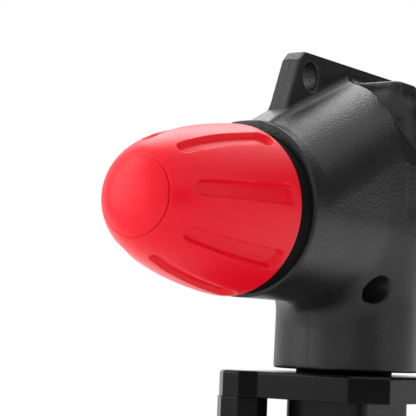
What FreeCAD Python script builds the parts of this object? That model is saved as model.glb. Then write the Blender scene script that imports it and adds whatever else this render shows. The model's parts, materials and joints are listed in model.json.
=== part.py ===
# Hand-cranked gear transfer pump: a swivelling pump head on a stand.
# Units are millimetres.  +Z is up, the crank is on the +X side, the flow knob on -X,
# the outlet points to +Y, and the origin is the centre of the base underside.
import FreeCAD, Part
import math
import os

V = FreeCAD.Vector
X, Y, Z = V(1, 0, 0), V(0, 1, 0), V(0, 0, 1)

# --- driving dimensions ------------------------------------------------------------
AXIS_Z = 95.0          # height of the knob and crank axis
GEAR_MODULE = 2.0
GEAR_TEETH = 11
CENTRE_DIST = GEAR_MODULE * GEAR_TEETH
IDLER_Z = AXIS_Z + CENTRE_DIST

NECK_R = 25.0          # outside radius of the two side necks
LIP_X = 61.8           # end of each neck, measured from the middle of the head
FLANGE_X = 68.7        # outside face of the bonnet flanges
BORE_R = 19.0          # bore of the necks, which the bonnets plug into
SLOPE_START = V(-64.0, 0, 90.7)   # axis of the sloping shoulder of the housing
SLOPE_END = V(-10.0, 0, 114.5)
MIDDLE_TOP, PAD_TOP = 138.8, 141.6   # block between the shoulders and the pad on it
COLUMN_R, COLUMN_FRONT = 22.2, 1.4    # lower body of the housing
HEAD_Z = 49.2          # underside of the housing
WEB_T = 3.3            # thickness of the ear plate on each half
EAR_X, EAR_Z, EAR_R = 31.6, 139.6, 4.4

BASE_W, BASE_T, BASE_R = 90.0, 8.0, 10.0
MOUNT_PITCH, MOUNT_R = 72.0, 3.3
POST_X, POST_Y, POST_AF = 23.3, 23.3, 15.0
COLLAR_HALF, COLLAR_CUT, COLLAR_Z, COLLAR_TOP = 26.0, 9.4, 39.8, 48.1
BLOCK_X0, BLOCK_X1, BLOCK_HALF_Y, BLOCK_ROUND = -13.5, 19.5, 14.5, 4.0
SWIVEL_R = 15.4
PORT_R = 9.32          # minor radius of the G 1/2 suction thread

KNOB_X, KNOB_R, KNOB_LEN = -69.0, 25.0, 46.6
KNOB_SEAM = 43.7       # where the domed cap meets the knob
FLUTES, FLUTE_DEPTH, FLUTE_START_DEG = 8, 1.6, 8.0

GEAR_TIP_R, GEAR_ROOT_R, PRESSURE_DEG = 12.9, 8.6, 25.0
CASE_HALF = 9.0        # half thickness of the gear chamber
PLATE_T = 7.4
CASE_R = 16.1
SHAFT_R = 6.0
CRANK_LEN = 75.0
HUB_X0, HUB_X1 = 70.0, 84.0

SHELL_SCREW = (15.0, 74.8)                 # x and z of the two front screws
REAR_SCREW = (45.0, AXIS_Z + 22.0)         # x and z of the two rear screws
CASE_SCREWS = [(y, z) for y in (-11.5, 11.5) for z in (AXIS_Z - 11.5, IDLER_Z + 11.5)]


# --- small helpers -----------------------------------------------------------------
def cyl(r, start, end):
    """Solid cylinder between two points."""
    axis = end - start
    return Part.makeCylinder(r, axis.Length, start, axis)


def cyl_x(r, x0, x1, y=0.0, z=AXIS_Z):
    return cyl(r, V(x0, y, z), V(x1, y, z))


def cyl_y(r, y0, y1, x=0.0, z=AXIS_Z):
    return cyl(r, V(x, y0, z), V(x, y1, z))


def cyl_z(r, z0, z1, x=0.0, y=0.0):
    return cyl(r, V(x, y, z0), V(x, y, z1))


def block(x0, x1, y0, y1, z0, z1):
    return Part.makeBox(x1 - x0, y1 - y0, z1 - z0, V(x0, y0, z0))


def fuse(shapes):
    return shapes[0].multiFuse(shapes[1:]).removeSplitter()


def revolve(points, centre, axis):
    """Turn a closed outline of points about an axis."""
    wire = Part.makePolygon(points + [points[0]])
    return Part.Face(wire).revolve(centre, axis, 360)


def turned_x(profile, z=AXIS_Z):
    """Turn (x, r) pairs about the X direction."""
    return revolve([V(x, 0, z + r) for x, r in profile], V(0, 0, z), X)


def turned_z(profile):
    return revolve([V(r, 0, z) for r, z in profile], V(0, 0, 0), Z)


def prism(across_flats, sides, z0, z1, x=0.0, y=0.0):
    """Regular prism standing on its end, with flats facing X and Y."""
    r = across_flats / 2 / math.cos(math.pi / sides)
    turn = math.pi / sides
    pts = [V(x + r * math.cos(2 * math.pi * i / sides + turn),
             y + r * math.sin(2 * math.pi * i / sides + turn), z0) for i in range(sides)]
    return Part.Face(Part.makePolygon(pts + [pts[0]])).extrude(V(0, 0, z1 - z0))


def torus(major, minor, centre, axis):
    return Part.makeTorus(major, minor, centre, axis)


def mirror_x(shape):
    return shape.mirror(V(0, 0, 0), X)


def on_corners(pitch):
    return [(sx * pitch / 2, sy * pitch / 2) for sx in (-1, 1) for sy in (-1, 1)]


def cap_screw(r, length, head_r, head_h):
    """Socket-head screw along +Z with the seat of its head at z = 0 and its tip above."""
    key = prism(head_r * 0.95, 6, -head_h, -head_h * 0.45)
    return cyl_z(head_r, -head_h, 0).cut(key).fuse(cyl_z(r, 0, length)).removeSplitter()


def place(shape, position, direction):
    out = shape.copy()
    out.Placement = FreeCAD.Placement(position, FreeCAD.Rotation(Z, direction))
    return out


# --- stand -------------------------------------------------------------------------
def post_places():
    return [(sx * POST_X, POST_Y) for sx in (-1, 1)]


def block_screw_places():
    return [(x, y) for x in (BLOCK_X0 + 3.0, BLOCK_X1 - 3.6) for y in (-11.0, 11.0)]


def base_plate():
    plate = block(-BASE_W / 2, BASE_W / 2, -BASE_W / 2, BASE_W / 2, 0, BASE_T)
    upright = [e for e in plate.Edges if abs(e.Vertexes[0].Z - e.Vertexes[1].Z) > 1]
    plate = plate.makeFillet(BASE_R, upright)
    plate = plate.makeChamfer(1.0, [e for e in plate.Edges if e.BoundBox.ZMin > BASE_T - 0.01])
    cuts = [cyl_z(12.5, -1, BASE_T + 1)]
    cuts += [cyl_z(MOUNT_R, -1, BASE_T + 1, x, y) for x, y in on_corners(MOUNT_PITCH)]
    for x, y in post_places():
        cuts += [cyl_z(3.3, -1, BASE_T + 1, x, y), cyl_z(5.4, -1, 5.0, x, y)]
    for x, y in block_screw_places():
        cuts += [cyl_z(1.7, -1, BASE_T + 1, x, y), cyl_z(2.9, -1, 3.0, x, y)]
    return plate.cut(cuts)


def posts():
    out = []
    for x, y in post_places():
        out.append(prism(POST_AF, 8, BASE_T, COLLAR_Z, x, y).cut(cyl_z(3.3, 0, 60, x, y)))
    return Part.makeCompound(out)


def collar():
    w, c = COLLAR_HALF, COLLAR_CUT
    plan = [V(-w, w, COLLAR_Z), V(-w, c - w, COLLAR_Z), V(c - w, -w, COLLAR_Z),
            V(w - c, -w, COLLAR_Z), V(w, c - w, COLLAR_Z), V(w, w, COLLAR_Z)]
    plate = [Part.Face(Part.makePolygon(plan + [plan[0]])).extrude(V(0, 0, COLLAR_TOP - COLLAR_Z))]
    plate += [prism(POST_AF - 0.8, 8, COLLAR_Z, COLLAR_TOP, x, y) for x, y in post_places()]
    solid = fuse(plate)
    top = [e for e in solid.Edges if e.BoundBox.ZMin > COLLAR_TOP - 0.01]
    solid = solid.makeChamfer(0.7, top)
    cuts = [cyl_z(SWIVEL_R + 0.05, COLLAR_Z - 1, COLLAR_TOP + 1), cyl_z(16.9, 45.4, 47.0)]
    cuts += [cyl_z(3.0, COLLAR_Z - 1, COLLAR_Z + 5.4, x, y) for x, y in post_places()]
    return solid.cut(cuts)


def tie_bolts():
    bolt = cap_screw(3.0, COLLAR_Z, 5.0, 4.5)
    return Part.makeCompound([place(bolt, V(x, y, 5.0), Z) for x, y in post_places()])


def block_screws():
    screw = cap_screw(1.5, 11.5, 2.7, 2.6)
    return Part.makeCompound([place(screw, V(x, y, 3.0), Z) for x, y in block_screw_places()])


def inlet_block():
    """Body under the collar that holds the suction port and the check valve."""
    body = block(BLOCK_X0, BLOCK_X1, -BLOCK_HALF_Y, BLOCK_HALF_Y, BASE_T, COLLAR_Z)
    upright = [e for e in body.Edges if abs(e.Vertexes[0].Z - e.Vertexes[1].Z) > 1]
    body = body.makeFillet(BLOCK_ROUND, upright).fuse(cyl_z(12.5, 0, BASE_T)).removeSplitter()
    cuts = [cyl_z(PORT_R, -1, 14), cyl_z(6.5, 13, 17), cyl_z(11.5, 16, 45)]
    cuts += [cyl_z(1.5, 0, 14.6, x, y) for x, y in block_screw_places()]
    return body.cut(cuts)


def thrust_washer():
    return turned_z([(9.5, COLLAR_Z), (15.3, COLLAR_Z), (15.3, 41.0), (9.5, 41.0)])


def check_disc():
    disc = [cyl_z(10.0, 16, 18)]
    for i in range(3):
        a = math.radians(120 * i)
        disc.append(cyl_z(0.9, 17.5, 19.5, 9.0 * math.cos(a), 9.0 * math.sin(a)))
    return fuse(disc)


def disc_stop():
    """Ring that limits the lift of the check disc."""
    return turned_z([(7.6, 22.2), (11.5, 22.2), (11.5, 25.2), (7.6, 25.2)])


# --- swivel ------------------------------------------------------------------------
def swivel_tube():
    return turned_z([(7.0, 41.1), (SWIVEL_R, 41.1), (SWIVEL_R, 41.9), (12.8, 41.9), (12.8, 44.6),
                     (SWIVEL_R, 44.6), (SWIVEL_R, 45.6), (14.2, 45.6), (14.2, 46.8),
                     (SWIVEL_R, 46.8), (SWIVEL_R, 55.0), (BORE_R, 55.0), (BORE_R, 60.0), (7.0, 60.0)])


def swivel_oring():
    return torus(14.1, 1.3, V(0, 0, 43.25), Z)


def retaining_ring():
    ring = turned_z([(14.2, 45.6), (16.6, 45.6), (16.6, 46.8), (14.2, 46.8)])
    return ring.cut(block(0, 20, -2.5, 2.5, 45, 48))


# --- housing -----------------------------------------------------------------------
def case_outline(grow, half_x):
    """Figure-of-eight block round the two gear axes, with four screw lugs."""
    parts = [cyl_x(CASE_R + grow, -half_x, half_x, 0, z) for z in (AXIS_Z, IDLER_Z)]
    parts.append(block(-half_x, half_x, -CASE_R - grow, CASE_R + grow, AXIS_Z, IDLER_Z))
    parts += [cyl_x(3.2 + grow, -half_x, half_x, y, z) for y, z in CASE_SCREWS]
    return fuse(parts)


def inlet_leg(grow):
    """Duct that runs up the front of the gear case."""
    return block(-6.5 - grow, 6.5 + grow, -19.5 - grow, -10, 69.0, 111.0 + grow)


def shoulder(radius):
    """One sloping shoulder with the wedge that joins it to the neck below."""
    rise = (SLOPE_END.z - SLOPE_START.z) / (SLOPE_END.x - SLOPE_START.x)
    far_end = SLOPE_END + V(14, 0, 14 * rise)
    slope = cyl(radius, SLOPE_START, far_end)
    wedge = Part.makePolygon([V(-64, -radius, AXIS_Z - 2), V(4, -radius, AXIS_Z - 2),
                              far_end - V(0, radius, 0), SLOPE_START - V(0, radius, 0),
                              V(-64, -radius, AXIS_Z - 2)])
    solid = slope.fuse(Part.Face(wedge).extrude(V(0, 2 * radius, 0)))
    return solid.common(block(-LIP_X, SLOPE_END.x, -40, 40, AXIS_Z, 160))


def ear_plate():
    side = [(-60.0, AXIS_Z), (-60.0, 120.4), (-45.2, 127.6), (-38.3, 144.2), (-35.2, 147.2)]
    pts = [V(x, -WEB_T, z) for x, z in side] + [V(-x, -WEB_T, z) for x, z in reversed(side)]
    plate = Part.Face(Part.makePolygon(pts + [pts[0]])).extrude(V(0, 2 * WEB_T, 0))
    return plate.cut([cyl_y(EAR_R, -9, 9, sx * EAR_X, EAR_Z) for sx in (-1, 1)])


def column():
    """Upright body of the housing, drawn out a little towards the front."""
    front = cyl_z(COLUMN_R, HEAD_Z, 115, 0, -COLUMN_FRONT)
    return fuse([cyl_z(COLUMN_R, HEAD_Z, 115), front,
                 block(-COLUMN_R, COLUMN_R, -COLUMN_FRONT, 0, HEAD_Z, 115)])


def housing_outside():
    left = shoulder(NECK_R)
    middle = block(SLOPE_END.x, -SLOPE_END.x, -24.4, 24.4, AXIS_Z, MIDDLE_TOP)
    middle = middle.makeFillet(8.0, [e for e in middle.Edges if e.BoundBox.ZMin > MIDDLE_TOP - 0.01
                                     and e.BoundBox.XLength > 1])
    pad = block(-7, 7, -21, 21, MIDDLE_TOP - 5, PAD_TOP)
    pad = pad.makeFillet(3.0, [e for e in pad.Edges if e.BoundBox.ZLength > 1])
    parts = [cyl_x(NECK_R, -LIP_X, LIP_X), left, mirror_x(left), middle, pad, column()]
    parts += [ear_plate(), cyl_y(14.0, 10, 27.0, 0, AXIS_Z + CENTRE_DIST / 2)]
    return fuse(parts)


def screw_bosses():
    x, z = SHELL_SCREW
    parts = []
    for sx in (-1, 1):
        parts += [cyl_y(4.0, -20, 20, sx * x, z)]
        parts += [cyl_y(5.4, y0, y1, sx * x, z) for y0, y1 in ((-20, -8), (8, 20))]
    return fuse(parts)


def housing_inside():
    hollow = [cyl_x(BORE_R, -LIP_X - 1, LIP_X + 1), case_outline(0.3, 19.2), inlet_leg(0.3),
              cyl_z(BORE_R + 0.2, 55, 80), cyl_z(SWIVEL_R, HEAD_Z - 1, 56),
              cyl_y(12.0, 10, 22, 0, AXIS_Z + CENTRE_DIST / 2),
              cyl_y(8.05, 20, 30, 0, AXIS_Z + CENTRE_DIST / 2)]
    return fuse(hollow).cut(screw_bosses())


def screw_holes():
    x, z = SHELL_SCREW
    rx, rz = REAR_SCREW
    holes = []
    for sx in (-1, 1):
        holes += [cyl_y(4.2, -30, -9, sx * x, z), cyl_y(2.3, -10, 0, sx * x, z),
                  cyl_y(2.0, 0, 10.5, sx * x, z)]
        holes += [cyl_y(4.2, 10, 40, sx * rx, rz), cyl_y(2.3, 0, 11, sx * rx, rz),
                  cyl_y(2.0, -8.5, 0, sx * rx, rz)]
    return holes


def housing_halves():
    body = housing_outside().cut(housing_inside()).cut(screw_holes())
    front = body.common(block(-80, 80, -60, 0, 40, 160))
    rear = body.common(block(-80, 80, 0, 60, 40, 160))
    return front, rear


def shell_screws():
    x, z = SHELL_SCREW
    screw = cap_screw(2.0, 19.0, 3.5, 4.0)
    return Part.makeCompound([place(screw, V(sx * x, -9, z), Y) for sx in (-1, 1)])


def rear_screws():
    x, z = REAR_SCREW
    screw = cap_screw(2.0, 18.0, 3.5, 4.0)
    return Part.makeCompound([place(screw, V(sx * x, 10, z), -Y) for sx in (-1, 1)])


# --- gear cartridge ----------------------------------------------------------------
def case_screw_holes():
    return [cyl_x(1.6, -30, 30, y, z) for y, z in CASE_SCREWS]


def gear_case():
    mid = AXIS_Z + CENTRE_DIST / 2
    solid = fuse([case_outline(0, CASE_HALF), inlet_leg(0)])
    cuts = [cyl_x(GEAR_TIP_R + 0.05, -20, 20, 0, z) for z in (AXIS_Z, IDLER_Z)]
    cuts += [block(-4.5, 4.5, -18, -14, 60, 109), block(-4.5, 4.5, -16, -5, mid - 5, mid + 3),
             cyl_y(6.0, 5, 20, 0, mid)]
    return solid.cut(cuts + case_screw_holes())


def end_plate(side):
    """Cover of the gear chamber; side is -1 by the flow knob and +1 by the crank."""
    mid = AXIS_Z + CENTRE_DIST / 2
    inner, outer = CASE_HALF, CASE_HALF + PLATE_T
    plate = case_outline(0, outer).common(block(inner, outer, -30, 30, 60, 150))
    cuts = [cyl_x(8.0, inner - 1, inner + 6, 0, z) for z in (AXIS_Z, IDLER_Z)]
    cuts += case_screw_holes()
    if side > 0:
        cuts.append(cyl_x(SHAFT_R + 0.3, 0, 40))
        return plate.cut(cuts)
    cuts += [cyl_x(2.5, 0, 40, y, mid) for y in (-9, 9)]
    return mirror_x(plate.cut(cuts))


def case_bushes():
    out = []
    for z in (AXIS_Z, IDLER_Z):
        for x0, x1 in ((-15.0, -9.0), (9.0, 15.0)):
            out.append(cyl_x(8.0, x0, x1, 0, z).cut(cyl_x(SHAFT_R + 0.03, x0, x1, 0, z)))
    return Part.makeCompound(out)


def case_screws():
    reach = CASE_HALF + PLATE_T
    out = []
    for y, z in CASE_SCREWS:
        screw = cap_screw(1.5, 2 * reach - 0.5, 2.7, 2.2)
        out.append(place(screw, V(reach, y, z), -X))
    return Part.makeCompound(out)


def inlet_manifold():
    cuts = [cyl_z(9.0, 60, 66), block(-4.5, 4.5, -18, 0, 60, 66), block(-4.5, 4.5, -18, -14, 60, 70)]
    return cyl_z(BORE_R, 60.0, 69.0).cut(cuts)


def involute_gear(z_centre, turn_deg):
    """Spur gear about X; turn_deg is where the first tooth points, from +Y towards +Z."""
    pitch_r = GEAR_MODULE * GEAR_TEETH / 2
    base_r = pitch_r * math.cos(math.radians(PRESSURE_DEG))

    def inv(r):
        a = math.acos(min(1.0, base_r / r))
        return math.tan(a) - a
    half = (math.pi * GEAR_MODULE / 2 - 0.14) / 2 / pitch_r + inv(pitch_r)
    radii = [base_r + (GEAR_TIP_R - base_r) * k / 6 for k in range(7)]
    flank = [(GEAR_ROOT_R, half)] + [(r, half - inv(r)) for r in radii]
    pts = []
    for tooth in range(GEAR_TEETH):
        middle = math.radians(turn_deg) + 2 * math.pi * tooth / GEAR_TEETH
        for r, a in [(r, -a) for r, a in flank] + list(reversed(flank)):
            pts.append(V(0, r * math.cos(middle + a), z_centre + r * math.sin(middle + a)))
    width = 2 * CASE_HALF - 0.1
    gear = Part.Face(Part.makePolygon(pts + [pts[0]])).extrude(V(width, 0, 0))
    gear.translate(V(-width / 2, 0, 0))
    return gear.cut(cyl_x(SHAFT_R, -20, 20, 0, z_centre))


def key_at(z, grow=0.0):
    return block(-8.0, 8.0, -2.0 - grow, 2.0 + grow, z - 7.2 - grow, z - 4.4)


def drive_gear():
    return involute_gear(AXIS_Z, 90).cut(block(-10, 10, -2, 2, AXIS_Z - 7.25, AXIS_Z))


def idler_gear():
    half_tooth = 180.0 / GEAR_TEETH
    return involute_gear(IDLER_Z, -90 + half_tooth).cut(block(-10, 10, -2, 2, IDLER_Z - 7.25, IDLER_Z))


def drive_shaft():
    square = block(HUB_X0, 83, -4.5, 4.5, AXIS_Z - 4.5, AXIS_Z + 4.5)
    shaft = cyl_x(SHAFT_R, -14.6, HUB_X0).fuse(square).removeSplitter()
    return shaft.cut([key_at(AXIS_Z), cyl_x(2.5, 68, 90)])


def idler_shaft():
    return cyl_x(SHAFT_R, -14.6, 14.6, 0, IDLER_Z).cut(key_at(IDLER_Z))


# --- flow valve and knob -----------------------------------------------------------
def bonnet():
    return turned_x([(-FLANGE_X, 5.05), (-FLANGE_X, 23.2), (-FLANGE_X + 0.8, 24.0), (-LIP_X, 24.0),
                     (-LIP_X, BORE_R), (-50, BORE_R), (-50, 5.05)])


def valve_sleeve():
    mid = AXIS_Z + CENTRE_DIST / 2
    end = -CASE_HALF - PLATE_T
    sleeve = cyl_x(BORE_R, -50, end).cut(cyl_x(10.05, -60, -24))
    cuts = [cyl_y(5.7, -20, 20, -SHELL_SCREW[0], SHELL_SCREW[1])]
    for y in (-9.0, 9.0):
        cuts += [cyl_x(2.5, -35, end + 1, y, mid), cyl(2.5, V(-35, y, mid), V(-35, y / 2, AXIS_Z + 5.5))]
    return sleeve.cut(cuts)


def valve_plug():
    groove = cyl_x(11.0, -38, -32).cut(cyl_x(7.0, -40, -30))
    groove = groove.common(block(-40, -30, -12, 12, AXIS_Z + 3.0, AXIS_Z + 12))
    socket = block(-51, -43, -3.5, 3.5, AXIS_Z - 3.5, AXIS_Z + 3.5)
    return cyl_x(10.0, -49.8, -24.3).cut([groove, socket])


def valve_spindle():
    body = fuse([turned_x([(-102.5, 0), (-102.5, 4.5), (-102.0, 5.0), (-50.2, 5.0), (-50.2, 0)]),
                 block(-50.3, -43.2, -3.4, 3.4, AXIS_Z - 3.4, AXIS_Z + 3.4)])
    grooves = [cyl_x(6, x, x + 2.4).cut(cyl_x(3.6, x, x + 2.4)) for x in (-60.0, -55.5)]
    flat = block(-103, -73, -6, 6, AXIS_Z + 4.0, AXIS_Z + 6)
    return body.cut(grooves + [flat, cyl_x(2.0, -103, -88)])


def spindle_orings():
    return Part.makeCompound([torus(4.3, 0.7, V(x + 1.2, 0, AXIS_Z), X) for x in (-60.0, -55.5)])


def knob_radius(along):
    """Outside radius of the knob at a distance in front of its base."""
    return KNOB_R * (1 - (along / KNOB_LEN) ** 1.214) ** (1 / 3.34)


def knob_profile(inset, reach):
    """(x, r) points of the knob side from its base to a distance along it."""
    steps = 16
    pts = []
    for i in range(steps + 1):
        u = reach * i / steps
        pts.append((KNOB_X - u, knob_radius(u) - inset))
    return pts


def curved_turn(profile, closing):
    """Turn a smooth (x, r) curve closed by straight sides through more (x, r) points."""
    curve = Part.BSplineCurve()
    curve.interpolate([V(x, 0, AXIS_Z + r) for x, r in profile])
    ends = [profile[-1]] + closing + [profile[0]]
    sides = [Part.makeLine(V(a[0], 0, AXIS_Z + a[1]), V(b[0], 0, AXIS_Z + b[1]))
             for a, b in zip(ends, ends[1:])]
    face = Part.Face(Part.Wire([curve.toShape()] + sides))
    return face.revolve(V(0, 0, AXIS_Z), X, 360)


def flute_cutter():
    """Round-ended strip of the knob skin, centred on the direction of -Y."""
    skin = curved_turn(knob_profile(-1.0, 42.0), [(KNOB_X - 42, 2), (KNOB_X, 2)])
    core = curved_turn(knob_profile(FLUTE_DEPTH, 42.0), [(KNOB_X - 42, 2), (KNOB_X, 2)])
    x0, x1, w0, w1 = KNOB_X - 4.9, KNOB_X - 35.8, 3.0, 2.3
    plan = [V(x0, 0, AXIS_Z + w0), V(x0, 0, AXIS_Z - w0), V(x1, 0, AXIS_Z - w1), V(x1, 0, AXIS_Z + w1)]
    strip = Part.Face(Part.makePolygon(plan + [plan[0]])).extrude(V(0, -40, 0))
    ends = [cyl_y(w0, -40, 0, x0), cyl_y(w1, -40, 0, x1)]
    return skin.cut(core).common(fuse([strip] + ends))


def knob_shell():
    tip = KNOB_X - KNOB_SEAM
    body = curved_turn(knob_profile(0, KNOB_SEAM), [(tip, 0), (KNOB_X, 0)])
    hollow = curved_turn(knob_profile(4.0, 33.0), [(KNOB_X - 33, 8.5), (KNOB_X, 8.5)])
    first = flute_cutter()
    cuts = [hollow, cyl_x(5.0, KNOB_X - 33.6, KNOB_X + 1), cyl_x(2.3, KNOB_X - 38, KNOB_X),
            cyl_x(8.0, tip - 1, KNOB_X - 37)]
    for i in range(FLUTES):
        cutter = first.copy()
        cutter.rotate(V(0, 0, AXIS_Z), X, -FLUTE_START_DEG + 360.0 * i / FLUTES)
        cuts.append(cutter)
    return body.cut(cuts)


def knob_cap():
    face = KNOB_X - KNOB_SEAM - 0.3
    dome = [(KNOB_X - u, knob_radius(u)) for u in (44.0, 44.6, 45.2, 45.8, 46.25)]
    tip = KNOB_X - KNOB_LEN
    cap = turned_x([(face, 11.2)] + dome + [(tip + 0.1, 4.2), (tip, 2.0), (tip, 0), (face, 0)])
    plug = cyl_x(7.95, face - 0.1, KNOB_X - 41.6)
    return cap.fuse(plug).removeSplitter()


def knob_screw():
    return place(cap_screw(2.0, 12.0, 3.8, 3.0), V(KNOB_X - 37.0, 0, AXIS_Z), X)


# --- crank side --------------------------------------------------------------------
def drive_bonnet():
    return turned_x([(50, 9.0), (50, BORE_R), (LIP_X, BORE_R), (LIP_X, 24.0),
                     (FLANGE_X - 0.8, 24.0), (FLANGE_X, 23.2), (FLANGE_X, 10.0), (62.0, 10.0),
                     (62.0, 9.0)])


def drive_bush():
    return cyl_x(9.0, 50, 62).cut(cyl_x(SHAFT_R + 0.03, 50, 62))


def shaft_seal():
    return turned_x([(62.0, 6.05), (62.0, 10.0), (68.0, 10.0), (68.0, 6.05), (66.5, 7.4), (63.5, 7.4)])


def crank_arm():
    top = AXIS_Z + CRANK_LEN
    x = HUB_X0 + 2.0
    web = [V(x, -10.5, AXIS_Z), V(x, 10.5, AXIS_Z), V(x, 8.0, top), V(x, -8.0, top)]
    arm = [Part.Face(Part.makePolygon(web + [web[0]])).extrude(V(8.0, 0, 0)),
           cyl_x(13.0, HUB_X0, HUB_X1), cyl_x(10.5, HUB_X0 + 1.0, HUB_X1, 0, top)]
    square = block(60, 90, -4.55, 4.55, AXIS_Z - 4.55, AXIS_Z + 4.55)
    return fuse(arm).cut([square, cyl_x(4.0, 60, 90, 0, top)])


def crank_washer():
    return cyl_x(9.0, HUB_X1, HUB_X1 + 1.6).cut(cyl_x(2.6, 80, 90))


def crank_screw():
    return place(cap_screw(2.5, 14.0, 4.25, 5.0), V(HUB_X1 + 1.6, 0, AXIS_Z), -X)


def grip_axle():
    top = AXIS_Z + CRANK_LEN
    pin = [cyl_x(4.0, 71.5, 142.5, 0, top), cyl_x(7.0, 142.5, 145.5, 0, top)]
    return fuse(pin).cut(block(144.3, 146, -6, 6, top - 0.7, top + 0.7))


def crank_grip():
    top = AXIS_Z + CRANK_LEN
    side = [(84.4, 10.8), (85.6, 12.0), (93, 12.9), (107, 13.6), (123, 13.4), (137, 12.4), (145, 11.4),
            (148.4, 10.6), (149.0, 9.6)]
    return turned_x([(84.4, 4.05)] + side + [(149.0, 8.0), (142.2, 8.0), (142.2, 4.05)], top)


def grip_cap():
    top = AXIS_Z + CRANK_LEN
    return turned_x([(147.0, 0), (147.0, 8.0), (149.0, 8.0), (150.4, 6.8), (151.0, 4.5), (151.2, 0)], top)


# --- outlet ------------------------------------------------------------------------
def outlet_tube(profile):
    """Turn (y, r) pairs about the outlet axis."""
    z = AXIS_Z + CENTRE_DIST / 2
    return revolve([V(0, y, z + r) for y, r in profile], V(0, 0, z), Y)


def outlet_spout():
    return outlet_tube([(17.2, 6.0), (17.2, 11.8), (21.9, 11.8), (21.9, 8.0), (38.0, 8.0), (39.5, 9.5),
                        (68.5, 9.5), (70.0, 8.4), (70.0, 6.0)])


def outlet_seal():
    return outlet_tube([(CASE_R, 6.2), (CASE_R, 10.0), (17.2, 10.0), (17.2, 6.2)])


def outlet_nut():
    z = AXIS_Z + CENTRE_DIST / 2
    blank = prism(24.0, 6, 0, 7.0).cut(cyl_z(8.0, -1, 9))
    return place(blank, V(0, 27.0, z), Y)


# --- write one file per piece ------------------------------------------------------
os.makedirs("parts", exist_ok=True)
front_shell, rear_shell = housing_halves()
pieces = {
    "base_plate": base_plate(), "posts": posts(), "collar": collar(), "tie_bolts": tie_bolts(),
    "inlet_block": inlet_block(), "block_screws": block_screws(), "thrust_washer": thrust_washer(),
    "check_disc": check_disc(), "disc_stop": disc_stop(),
    "swivel_tube": swivel_tube(), "swivel_oring": swivel_oring(), "retaining_ring": retaining_ring(),
    "front_shell": front_shell, "rear_shell": rear_shell, "shell_screws": shell_screws(),
    "rear_screws": rear_screws(), "gear_case": gear_case(), "end_plate_left": end_plate(-1),
    "end_plate_right": end_plate(1), "case_bushes": case_bushes(), "case_screws": case_screws(),
    "inlet_manifold": inlet_manifold(), "drive_gear": drive_gear(), "drive_key": key_at(AXIS_Z),
    "drive_shaft": drive_shaft(), "idler_gear": idler_gear(), "idler_key": key_at(IDLER_Z),
    "idler_shaft": idler_shaft(), "bonnet": bonnet(), "valve_sleeve": valve_sleeve(),
    "valve_plug": valve_plug(), "valve_spindle": valve_spindle(), "spindle_orings": spindle_orings(),
    "knob_shell": knob_shell(), "knob_cap": knob_cap(), "knob_screw": knob_screw(),
    "drive_bonnet": drive_bonnet(), "drive_bush": drive_bush(), "shaft_seal": shaft_seal(),
    "crank_arm": crank_arm(), "crank_washer": crank_washer(), "crank_screw": crank_screw(),
    "grip_axle": grip_axle(), "crank_grip": crank_grip(), "grip_cap": grip_cap(),
    "outlet_spout": outlet_spout(), "outlet_seal": outlet_seal(), "outlet_nut": outlet_nut(),
}
for name, shape in pieces.items():
    shape.exportStep("parts/" + name + ".step")
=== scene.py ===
# Looks for the hand-cranked gear transfer pump.  Metres, same frame as the CAD part.
import json
import math
import bpy
import numpy as np
import openvdb
from mathutils import Matrix, Vector


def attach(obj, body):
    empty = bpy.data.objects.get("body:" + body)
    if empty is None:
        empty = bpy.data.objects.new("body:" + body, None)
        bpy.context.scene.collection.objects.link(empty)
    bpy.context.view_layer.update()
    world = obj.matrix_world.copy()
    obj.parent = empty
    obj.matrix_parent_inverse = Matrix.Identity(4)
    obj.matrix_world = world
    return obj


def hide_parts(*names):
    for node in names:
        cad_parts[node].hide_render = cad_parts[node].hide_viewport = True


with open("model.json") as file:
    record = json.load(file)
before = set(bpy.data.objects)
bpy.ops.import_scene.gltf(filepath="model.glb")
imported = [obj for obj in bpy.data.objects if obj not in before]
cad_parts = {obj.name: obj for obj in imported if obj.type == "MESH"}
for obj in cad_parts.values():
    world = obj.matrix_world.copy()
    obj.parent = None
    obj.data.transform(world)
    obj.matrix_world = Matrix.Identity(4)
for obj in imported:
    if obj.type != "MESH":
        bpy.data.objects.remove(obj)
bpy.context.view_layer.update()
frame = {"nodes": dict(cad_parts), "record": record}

# --- dimensions, in millimetres ------------------------------------------------------
# The outside follows the CAD part.  The bores inside the housing are a few hundredths
# wider than there, so that their facets stay clear of the pieces in them.
MM = 0.001
AXIS_Z = 95.0                 # height of the knob and crank axis
IDLER_Z = AXIS_Z + 22.0       # height of the idler gear and of the two rear screws
NECK_R = 25.0                 # side necks and shoulders, outside
NECK_BORE_R = 19.05           # the bonnets plug into it
LIP_X = 61.8                  # end of each neck
SLOPE = 0.4407                # rise of the shoulders
SLOPE_COS = 1 / math.sqrt(1 + SLOPE * SLOPE)
SHOULDER_X = -10.0            # inner end of the left shoulder's axis
SHOULDER_Z = 114.5
MIDDLE_HALF_X = 10.4          # block between the shoulders
MIDDLE_HALF_Y = 24.4
MIDDLE_TOP = 138.8
PAD_HALF_X = 7.0              # pad on the block
PAD_HALF_Y = 21.0
PAD_TOP = 141.6
COLUMN_R = 22.2               # upright body
COLUMN_FRONT = 1.4            # how far its round front is moved back
HEAD_Z = 49.2                 # underside of the housing
WEB_T = 3.3                   # ear plate, thickness of each half
WEB = [(-60.0, AXIS_Z), (-60.0, 120.4), (-45.2, 127.6), (-38.3, 144.2), (-35.2, 147.2),
       (40.0, 147.2), (40.0, AXIS_Z)]
EAR_X = 31.6                  # ear holes
EAR_Z = 139.6
EAR_R = 4.4
FRONT_SCREW_X = 15.0          # screws that join the halves
FRONT_SCREW_Z = 74.8
REAR_SCREW_X = 45.0
RECESS_R = 4.2                # round the head of a housing screw
OUTLET_Z = 106.0              # hose outlet at the back
OUTLET_BOSS_R = 14.0
CASE_R = 16.45                # pocket of the gear case
CASE_HALF_X = 19.3
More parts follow.
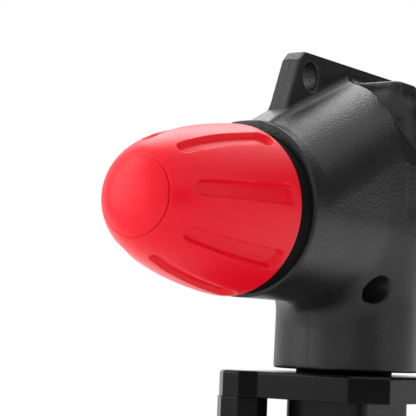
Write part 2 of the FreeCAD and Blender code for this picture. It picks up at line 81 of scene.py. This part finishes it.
LUG_OFFSET = 11.5             # screw lugs of the gear case
LUG_R = 3.55
SLOT_HALF_X = 6.9             # slot of the inlet manifold
FOOT_BORE_R = 19.25           # cavity over the swivel tube
SWIVEL_HOLE_R = 15.42         # hole round the swivel tube
SEAM_GAP = 0.03               # half the gap at the parting line of the housing
KNOB_X = -69.0                # open end of the knob
KNOB_R = 25.0                 # at the open end
KNOB_LEN = 46.6
KNOB_SEAM = 43.7              # where the domed cap meets the knob
FLUTES = 8
FLUTE_FIRST = math.radians(90 - 8)   # 8 degrees above -Y
FLUTE_START = 4.9             # first and last centre of the round ends
FLUTE_END = 35.8
FLUTE_HALF_WIDTH = 3.0        # at the start
FLUTE_TAPER = 0.7             # how much less it is at the end
FLUTE_DEPTH = 1.65


# --- materials ---------------------------------------------------------------------
def new_material(name):
    m = bpy.data.materials.new(name)
    m.use_nodes = True
    nt = m.node_tree
    return m, nt, nt.nodes["Principled BSDF"]


def link(nt, a, b):
    nt.links.new(a, b)


def noise(nt, coords, scale, detail, rough, stretch=None):
    n = nt.nodes.new("ShaderNodeTexNoise")
    n.inputs["Scale"].default_value = scale
    n.inputs["Detail"].default_value = detail
    n.inputs["Roughness"].default_value = rough
    if stretch:
        mp = nt.nodes.new("ShaderNodeMapping")
        mp.inputs["Scale"].default_value = stretch
        link(nt, coords, mp.inputs["Vector"])
        coords = mp.outputs["Vector"]
    link(nt, coords, n.inputs["Vector"])
    return n.outputs["Fac"]


def spread(nt, value, low, high, out_low, out_high):
    r = nt.nodes.new("ShaderNodeMapRange")
    for key, v in (("From Min", low), ("From Max", high), ("To Min", out_low), ("To Max", out_high)):
        r.inputs[key].default_value = v
    link(nt, value, r.inputs["Value"])
    return r.outputs["Result"]


def blend_colour(nt, fac, a, b):
    mix = nt.nodes.new("ShaderNodeMix")
    mix.data_type = "RGBA"
    mix.inputs["A"].default_value = (*a, 1)
    mix.inputs["B"].default_value = (*b, 1)
    link(nt, fac, mix.inputs["Factor"])
    return mix.outputs["Result"]


def bumps(nt, edge, layers):
    """Rounded edges, then bump layers of (height, distance, strength), finest last."""
    normal = None
    if edge:
        bevel = nt.nodes.new("ShaderNodeBevel")
        bevel.samples = 6
        bevel.inputs["Radius"].default_value = edge
        normal = bevel.outputs["Normal"]
    for height, distance, strength in layers:
        b = nt.nodes.new("ShaderNodeBump")
        b.inputs["Distance"].default_value = distance
        b.inputs["Strength"].default_value = strength
        link(nt, height, b.inputs["Height"])
        if normal:
            link(nt, normal, b.inputs["Normal"])
        normal = b.outputs["Normal"]
    return normal


def plastic(name, base, worn, rough, grain, edge=0.0003, grain_scale=2600, gloss=0.5):
    """Moulded plastic: spark-eroded grain, slight flow marks and handling wear."""
    m, nt, p = new_material(name)
    co = nt.nodes.new("ShaderNodeTexCoord").outputs["Object"]
    broad = noise(nt, co, 22, 5, 0.6)
    patch = noise(nt, co, 140, 5, 0.65)
    fine = noise(nt, co, grain_scale, 2, 0.5)
    rub = noise(nt, co, 260, 6, 0.7, (1, 1, 0.12))
    wear = spread(nt, patch, 0.42, 0.75, 0, 0.8)
    link(nt, blend_colour(nt, wear, base, worn), p.inputs["Base Color"])
    rough_mix = nt.nodes.new("ShaderNodeMath")
    rough_mix.operation = "ADD"
    link(nt, spread(nt, broad, 0.3, 0.7, rough - 0.04, rough + 0.05), rough_mix.inputs[0])
    link(nt, spread(nt, rub, 0.45, 0.8, 0.0, -0.05), rough_mix.inputs[1])
    link(nt, rough_mix.outputs[0], p.inputs["Roughness"])
    layers = [(broad, 0.0004, 0.12), (patch, 0.00008, 0.25), (fine, 0.00015, grain)]
    link(nt, bumps(nt, edge, layers), p.inputs["Normal"])
    p.inputs["IOR"].default_value = 1.49
    p.inputs["Specular IOR Level"].default_value = gloss
    return m


def metal(name, base, tarnish, rough, stretch):
    """Machined or ground metal with tool marks along one direction and faint tarnish."""
    m, nt, p = new_material(name)
    co = nt.nodes.new("ShaderNodeTexCoord").outputs["Object"]
    marks = noise(nt, co, 900, 4, 0.6, stretch)
    cloud = noise(nt, co, 60, 6, 0.6)
    dull = spread(nt, cloud, 0.4, 0.75, 0, 0.7)
    link(nt, blend_colour(nt, dull, base, tarnish), p.inputs["Base Color"])
    link(nt, spread(nt, cloud, 0.3, 0.7, rough - 0.05, rough + 0.1), p.inputs["Roughness"])
    link(nt, bumps(nt, 0.0002, [(cloud, 0.0001, 0.1), (marks, 0.00004, 0.3)]), p.inputs["Normal"])
    p.inputs["Metallic"].default_value = 1.0
    return m


MATERIALS = {
    "housing_black": plastic("housing_black", (0.009, 0.009, 0.0095), (0.012, 0.012, 0.0125),
                             0.38, grain=0.9, edge=0.0, grain_scale=1300, gloss=0.37),
    "stand_black": plastic("stand_black", (0.005, 0.005, 0.0055), (0.007, 0.007, 0.007),
                           0.20, grain=0.10, edge=0.0006, gloss=0.16),
    # inner_plastic: real black plastic of the inner pieces, with its base darkened below the housing's
    # as painted shade, so that the bonnet flange shows as the shadowed groove between the knob and the
    # neck.
    "inner_plastic": plastic("inner_plastic", (0.003, 0.003, 0.003), (0.004, 0.004, 0.004),
                             0.65, grain=0.3, edge=0.0004, gloss=0.05),
    "knob_red": plastic("knob_red", (0.80, 0.001, 0.014), (0.84, 0.001, 0.018),
                        0.36, grain=0.03, edge=0.0, gloss=0.26),
    "grip_black": plastic("grip_black", (0.018, 0.018, 0.019), (0.027, 0.027, 0.028), 0.48, grain=0.6),
    "acetal_white": plastic("acetal_white", (0.72, 0.71, 0.66), (0.66, 0.64, 0.58), 0.4, grain=0.1),
    "seal_rubber": plastic("seal_rubber", (0.010, 0.010, 0.010), (0.018, 0.017, 0.016), 0.62, grain=0.3),
    "crank_paint": plastic("crank_paint", (0.017, 0.017, 0.018), (0.026, 0.026, 0.026),
                           0.36, grain=0.5, edge=0.0004, grain_scale=1500),
    "gear_steel": metal("gear_steel", (0.50, 0.50, 0.51), (0.40, 0.39, 0.38), 0.32, (1, 1, 0.05)),
    "shaft_steel": metal("shaft_steel", (0.58, 0.58, 0.60), (0.48, 0.47, 0.46), 0.24, (1, 0.05, 0.05)),
    "screw_steel": metal("screw_steel", (0.44, 0.44, 0.46), (0.34, 0.32, 0.28), 0.34, (1, 1, 1)),
    "case_aluminium": metal("case_aluminium", (0.66, 0.67, 0.68), (0.56, 0.56, 0.56), 0.38,
                            (0.05, 1, 1)),
    "valve_brass": metal("valve_brass", (0.70, 0.50, 0.22), (0.48, 0.32, 0.14), 0.30, (1, 0.06, 1)),
    "bush_bronze": metal("bush_bronze", (0.55, 0.36, 0.18), (0.42, 0.28, 0.15), 0.42, (1, 1, 1)),
}
for part in frame["record"]["subparts"]:
    mesh = frame["nodes"][part["node"]].data
    mesh.materials.clear()
    mesh.materials.append(MATERIALS[part["material_slot"]])


SHARP_ANGLE = math.radians(48)


def add_piece(verts, quads, body, node, slot):
    """A detailed mesh, given in millimetres, that stands for one CAD node."""
    name = "visual_" + node
    mesh = bpy.data.meshes.new(name)
    mesh.from_pydata((np.asarray(verts, np.float64) * MM).tolist(), [], quads.tolist())
    mesh.materials.append(MATERIALS[slot])
    mesh.validate()
    mesh.shade_smooth()
    mesh.set_sharp_from_angle(angle=SHARP_ANGLE)
    obj = bpy.data.objects.new(name, mesh)
    bpy.context.scene.collection.objects.link(obj)
    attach(obj, body)
    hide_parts(node)


# --- housing halves: a distance field with moulded fillets --------------------------
def smooth_min(a, b, k):
    """Union of two distance fields with a fillet of about k between them."""
    h = np.maximum(k - np.abs(a - b), 0) / k
    return np.minimum(a, b) - h * h * k * 0.25


def smooth_max(a, b, k):
    """Intersection of two distance fields with an edge rounded by about k."""
    return -smooth_min(-a, -b, k)


def polygon_distance(px, pz, corners):
    """Signed distance to a polygon in the XZ plane."""
    d = np.full(np.broadcast(px, pz).shape, 1e9)
    inside = np.zeros(d.shape, bool)
    for (ax, az), (bx, bz) in zip(corners, corners[1:] + corners[:1]):
        ex, ez = bx - ax, bz - az
        t = np.clip(((px - ax) * ex + (pz - az) * ez) / (ex * ex + ez * ez), 0, 1)
        d = np.minimum(d, np.hypot(px - ax - ex * t, pz - az - ez * t))
        spans = (az > pz) != (bz > pz)
        inside ^= spans & (px < (bx - ax) * (pz - az) / (bz - az + 1e-12) + ax)
    return np.where(inside, -d, d)


def stadium(y, z, low, high, radius, squash=1.0):
    """Round-ended upright section; squash flattens its upper end."""
    above = np.hypot(y, np.maximum(z - high, 0) * squash)
    below = np.hypot(y, np.minimum(z - low, 0))
    return np.where(z > high, above, np.where(z < low, below, np.abs(y))) - radius


def rounded_corner(a, b):
    """Distance to a corner between two faces whose distances are a and b."""
    return np.hypot(np.maximum(a, 0), np.maximum(b, 0)) + np.minimum(np.maximum(a, b), 0)


def rounded_block(x, y, z, half_x, half_y, top, corner, edge):
    """Upright block with rounded corners in plan and a rounded top edge."""
    plan = rounded_corner(np.abs(x) - half_x + corner, np.abs(y) - half_y + corner) - corner
    return rounded_corner(plan + edge, z - top + edge) - edge


def barrel(x, y, z):
    """Neck, sloping shoulder and the block with its pad between the shoulders."""
    slope_z = SHOULDER_Z + SLOPE * (x - SHOULDER_X)
    neck = np.hypot(y, z - AXIS_Z) - NECK_R
    shoulder = stadium(y, z, AXIS_Z, np.maximum(slope_z, AXIS_Z), NECK_R, SLOPE_COS)
    slope = np.maximum(np.hypot(y, (z - slope_z) * SLOPE_COS) - NECK_R, AXIS_Z - z)
    shoulder = smooth_max(np.minimum(shoulder, slope), x - SHOULDER_X, 0.6)
    block = rounded_block(x, y, z, MIDDLE_HALF_X, MIDDLE_HALF_Y, MIDDLE_TOP, 10.0, 9.5)
    core = np.maximum(stadium(y, z, AXIS_Z, SHOULDER_Z, NECK_R - 0.3), SHOULDER_X - 2.0 - x)
    middle = np.minimum(np.maximum(block, AXIS_Z - z), core)
    pad = rounded_block(x, y, z, PAD_HALF_X, PAD_HALF_Y, PAD_TOP, 3.0, 1.5)
    middle = smooth_min(middle, np.maximum(pad, MIDDLE_TOP - 5 - z), 2.5)
    whole = smooth_min(np.minimum(neck, shoulder), middle, 0.6)
    return smooth_max(whole, -LIP_X - x, 0.8)


def column(x, y, z):
    """Upright body, slightly wider towards its foot."""
    deep = np.minimum(y + COLUMN_FRONT, 0) + np.maximum(y, 0)
    side = np.hypot(x, deep) - (COLUMN_R + 0.012 * (AXIS_Z - z))
    return smooth_max(smooth_max(side, HEAD_Z - z, 1.0), z - 112, 1.0)


def barrel_and_column(x, y, z):
    return smooth_min(barrel(x, y, z), column(x, y, z), 9.0)


def housing_outside(x, y, z):
    """Distance to the outside of the housing without the outlet boss, for x <= 0.

    The other side is its mirror image."""
    outline = polygon_distance(x, z, WEB)
    web = smooth_max(outline, np.abs(y) - WEB_T, 0.5)
    silhouette = np.minimum(outline, barrel_and_column(x, 0.0, z))
    return smooth_max(smooth_min(barrel_and_column(x, y, z), web, 3.2), silhouette, 0.4)


def housing_inside(x, y, z):
    """Bore of the necks, gear case pocket with its screw lugs, manifold slot and foot bore."""
    bore = np.hypot(y, z - AXIS_Z) - NECK_BORE_R
    pocket = stadium(y, z, AXIS_Z, IDLER_Z, CASE_R)
    for lug_z in (AXIS_Z - LUG_OFFSET, IDLER_Z + LUG_OFFSET):
        pocket = np.minimum(pocket, np.hypot(np.abs(y) - LUG_OFFSET, z - lug_z) - LUG_R)
    pocket = np.maximum(pocket, np.abs(x) - CASE_HALF_X)
    slot_plan = np.maximum(np.abs(x) - SLOT_HALF_X, np.abs(y + 14.9) - 4.95)
    slot = np.maximum(slot_plan, np.maximum(z - 111.4, 60 - z))
    foot_bore = np.maximum(np.hypot(x, y) - FOOT_BORE_R, np.maximum(54.95 - z, z - 80))
    hollow = np.minimum(np.minimum(bore, pocket), np.minimum(slot, foot_bore))
    boss_r = np.where(np.abs(y) > 8, 5.4, 4.0)
    screw_bosses = np.hypot(np.abs(x) - FRONT_SCREW_X, z - FRONT_SCREW_Z) - boss_r
    hollow = np.maximum(hollow, -screw_bosses)
    return np.minimum(hollow, np.maximum(np.hypot(x, y) - SWIVEL_HOLE_R, z - 57))


def housing_cuts(x, y, z):
    """Ear holes, screw holes with their recesses, the outlet hole and its pocket."""
    front = np.hypot(np.abs(x) - FRONT_SCREW_X, z - FRONT_SCREW_Z)
    rear = np.hypot(np.abs(x) - REAR_SCREW_X, z - IDLER_Z)
    outlet = np.hypot(x, z - OUTLET_Z)
    cuts = np.hypot(np.abs(x) - EAR_X, z - EAR_Z) - EAR_R
    for cut in (np.maximum(front - RECESS_R, y + 9.0),
                np.maximum(front - np.where(y < 0, 2.3, 2.05), y - 10.5),
                np.maximum(rear - RECESS_R, 10.0 - y),
                np.maximum(rear - 2.15, -8.5 - y),
                np.maximum(outlet - 12.05, np.abs(y - 16.0) - 6.0),
                np.maximum(outlet - 8.1, 15 - y)):
        cuts = np.minimum(cuts, cut)
    return cuts


def cell_centres(low, count, step):
    return low + step * (np.arange(count) + 0.5)


def housing_meshes(step):
    """Points and quads of the front half and of the rear half."""
    low = np.array([-65.0, -29.0, 47.5])
    high = np.array([65.0, 29.0, 149.5])
    n = np.round((high - low) / step).astype(int)
    half = n[0] // 2
    x = (cell_centres(0.0, 2 * half, step) - half * step)[:, None, None]
    y = cell_centres(low[1], n[1], step)[None, :, None]
    z = cell_centres(low[2], n[2], step)[None, None, :]
    left = housing_outside(x[:half], y, z)
    outside = np.concatenate([left, left[::-1]], axis=0)
    boss = np.maximum(np.hypot(x, z - OUTLET_Z) - OUTLET_BOSS_R, np.maximum(y - 27.0, 10 - y))
    outside = np.minimum(outside, smooth_min(outside, boss, 4.0))
    shell = np.maximum(outside, -housing_inside(x, y, z))
    shell = smooth_max(shell, -housing_cuts(x, y, z), 0.5)
    origin = np.array([x[0, 0, 0], y[0, 0, 0], z[0, 0, 0]])
    halves = []
    for sign in (1, -1):
        # Each half runs a little past the parting plane, and is then pulled back flat to it.
        field = np.maximum(shell, sign * y - 0.9 * step)
        grid = openvdb.FloatGrid(1e3)
        grid.copyFromArray(np.ascontiguousarray(field, np.float32))
        points, quads = grid.convertToQuads(0.0)
        points = points * step + origin
        past = sign * points[:, 1] > -SEAM_GAP
        points[past, 1] = -SEAM_GAP * sign
        halves.append((points, quads[:, ::-1]))
    return halves


front, rear = housing_meshes(0.5)
add_piece(*front, "head", "front_shell", "housing_black")
add_piece(*rear, "head", "rear_shell", "housing_black")


# --- knob ---------------------------------------------------------------------------
def knob_radius(u):
    """Outside radius at a distance u from the open end."""
    return KNOB_R * np.maximum(1 - (u / KNOB_LEN) ** 1.214, 0) ** (1 / 3.34)


def flute_depth(u, r, angle):
    """Depth of the round-ended grip flutes."""
    pitch = 2 * math.pi / FLUTES
    turn = (angle - FLUTE_FIRST + pitch / 2) % pitch - pitch / 2
    along = np.clip((u - FLUTE_START) / (FLUTE_END - FLUTE_START), 0, 1)
    past_end = np.maximum(np.maximum(FLUTE_START - u, u - FLUTE_END), 0)
    gap = np.hypot(turn * r, past_end) - (FLUTE_HALF_WIDTH - FLUTE_TAPER * along)
    t = np.clip((0.2 - gap) / 0.8, 0, 1)
    return FLUTE_DEPTH * t * t * (3 - 2 * t)


def lathe(profile, turns, carve=None):
    """Turn (x, r) pairs about the knob's axis into a grid of quads."""
    xs, rs = (np.array(values)[:, None] for values in zip(*profile))
    angle = (2 * np.pi * np.arange(turns) / turns)[None, :]
    r = np.repeat(rs, turns, axis=1)
    if carve:
        r = r - carve(xs, rs, angle)
    verts = np.stack([np.repeat(xs, turns, axis=1), -r * np.sin(angle), AXIS_Z + r * np.cos(angle)], -1)
    i = np.arange(len(profile) - 1)[:, None] * turns
    j = np.arange(turns)[None, :]
    k = (j + 1) % turns
    quads = np.stack([i + j, i + k, i + k + turns, i + j + turns], -1)
    return verts.reshape(-1, 3), quads.reshape(-1, 4)


def skin_points(us, inset=0.0):
    return [(KNOB_X - u, float(knob_radius(u)) - inset) for u in us]


def knob_mesh():
    """Outside with its flutes, the seat of the cap, the spindle socket and the hollow inside."""
    us = np.concatenate([[0.0, 0.12, 0.4], np.linspace(0.8, KNOB_SEAM - 0.35, 210)])
    outside = skin_points(us)
    for row, inset in enumerate((0.45, 0.18, 0.03)):
        x, r = outside[row]
        outside[row] = (x, r - inset)
    seam_r = float(knob_radius(KNOB_SEAM))
    tip = KNOB_X - KNOB_SEAM
    cap_seat = [(tip + 0.12, seam_r + 0.06), (tip + 0.02, seam_r - 0.12), (tip + 0.05, seam_r - 0.35),
                (tip + 0.1, 8.0), (KNOB_X - 37.0, 8.0)]
    socket = [(KNOB_X - 37.0, 5.02), (KNOB_X - 0.6, 5.02), (KNOB_X - 0.6, 8.5), (KNOB_X - 33, 8.5)]
    inside = skin_points(np.linspace(0, 33, 24), 4.0)[::-1]
    profile = outside + cap_seat + socket + inside + outside[:1]

    def carve(xs, rs, angle):
        depth = flute_depth(KNOB_X - xs, rs, angle)
        depth[len(outside):] = 0.0
        return depth
    return lathe(profile, 640, carve)


def cap_mesh():
    start = KNOB_SEAM + 0.2
    dome = skin_points(np.linspace(start + 0.15, KNOB_LEN - 0.35, 24))
    last_r = dome[-1][1]
    for t in np.linspace(0.94, 0.0, 16):
        dome.append((KNOB_X - KNOB_LEN + 0.35 * (t ** 2.2), max(last_r * t, 0.01)))
    rim = float(knob_radius(start))
    plug = [(KNOB_X - 41.6, 0.01), (KNOB_X - 41.6, 7.95), (KNOB_X - start, 7.95),
            (KNOB_X - start, rim - 0.45), (KNOB_X - start - 0.03, rim - 0.15)]
    return lathe(plug + dome, 256)


verts, quads = knob_mesh()
add_piece(verts, quads[:, ::-1], "flow_knob", "knob_shell", "knob_red")
add_piece(*cap_mesh(), "flow_knob", "knob_cap", "knob_red")


# --- studio -------------------------------------------------------------------------
HEAD = (0.0, 0.0, 0.1)        # what the lights and cards face


def stage_mesh(name, verts, grey):
    """One flat grey face of the studio."""
    mesh = bpy.data.meshes.new(name)
    mesh.from_pydata(verts, [], [list(range(len(verts)))])
    m, _, p = new_material(name)
    p.inputs["Base Color"].default_value = (grey, grey, grey, 1)
    p.inputs["Roughness"].default_value = 0.8
    mesh.materials.append(m)
    obj = bpy.data.objects.new(name, mesh)
    bpy.context.scene.collection.objects.link(obj)
    return obj


def disc(radius, z, corners=128):
    angles = [2 * math.pi * i / corners for i in range(corners)]
    return [(radius * math.cos(a), radius * math.sin(a), z) for a in angles]


def aimed(position):
    """Rotation that turns -Z from the position towards the middle of the head."""
    return (Vector(HEAD) - Vector(position)).to_track_quat("-Z", "Y")


def area_light(name, position, size, power, size_y=None):
    light = bpy.data.lights.new(name, "AREA")
    light.energy = power
    light.size = size
    if size_y:
        light.shape = "RECTANGLE"
        light.size_y = size_y
    obj = bpy.data.objects.new(name, light)
    obj.location = position
    obj.rotation_euler = aimed(position).to_euler()
    obj.visible_camera = False
    bpy.context.scene.collection.objects.link(obj)


def card(name, position, width, height, grey):
    """A dark card that shapes the reflections and is not seen by the camera."""
    w, h = width / 2, height / 2
    obj = stage_mesh(name, [(-w, -h, 0), (w, -h, 0), (w, h, 0), (-w, h, 0)], grey)
    obj.matrix_world = Matrix.Translation(position) @ aimed(position).to_matrix().to_4x4()
    obj.visible_camera = False


stage_mesh("floor", disc(0.58, -0.0002), 0.86)
area_light("top_light", (0.46, 0.34, 0.92), 0.72, 5.8)
area_light("back_left_light", (-0.64, 0.62, 0.50), 0.50, 4.2, size_y=0.95)
card("strip_flag", (0.92, -0.48, 0.50), 1.5, 0.66, 0.012)
card("camera_side_flag", (-0.52, -0.78, 0.12), 0.75, 0.45, 0.012)

world = bpy.data.worlds.new("studio")
bpy.context.scene.world = world
world.use_nodes = True
background = world.node_tree.nodes["Background"]
background.inputs["Color"].default_value = (1, 1, 1, 1)
background.inputs["Strength"].default_value = 1.0

# --- camera -------------------------------------------------------------------------
CAMERA_POSITION = (-0.43274, -0.25021, 0.05812)
CAMERA_LENS = 132.82
azimuth, pitch, roll = (math.radians(v) for v in (54.704, 4.811, 2.247))
level_dir = Vector((math.sin(azimuth), math.cos(azimuth), 0.0))
forward = level_dir * math.cos(pitch) + Vector((0, 0, math.sin(pitch)))
level = forward.cross(Vector((0, 0, 1))).normalized()
upright = level.cross(forward)
right = level * math.cos(roll) + upright * math.sin(roll)
up = upright * math.cos(roll) - level * math.sin(roll)
cam = bpy.data.cameras.new("camera")
cam.lens = CAMERA_LENS
cam.sensor_width = 36.0
camera = bpy.data.objects.new("camera", cam)
rotation = Matrix((right, up, -forward)).transposed().to_4x4()
camera.matrix_world = Matrix.Translation(CAMERA_POSITION) @ rotation
bpy.context.scene.collection.objects.link(camera)
bpy.context.scene.camera = camera
view_settings = bpy.context.scene.view_settings
view_settings.view_transform = "Standard"
view_settings.look = "None"

bpy.context.view_layer.update()
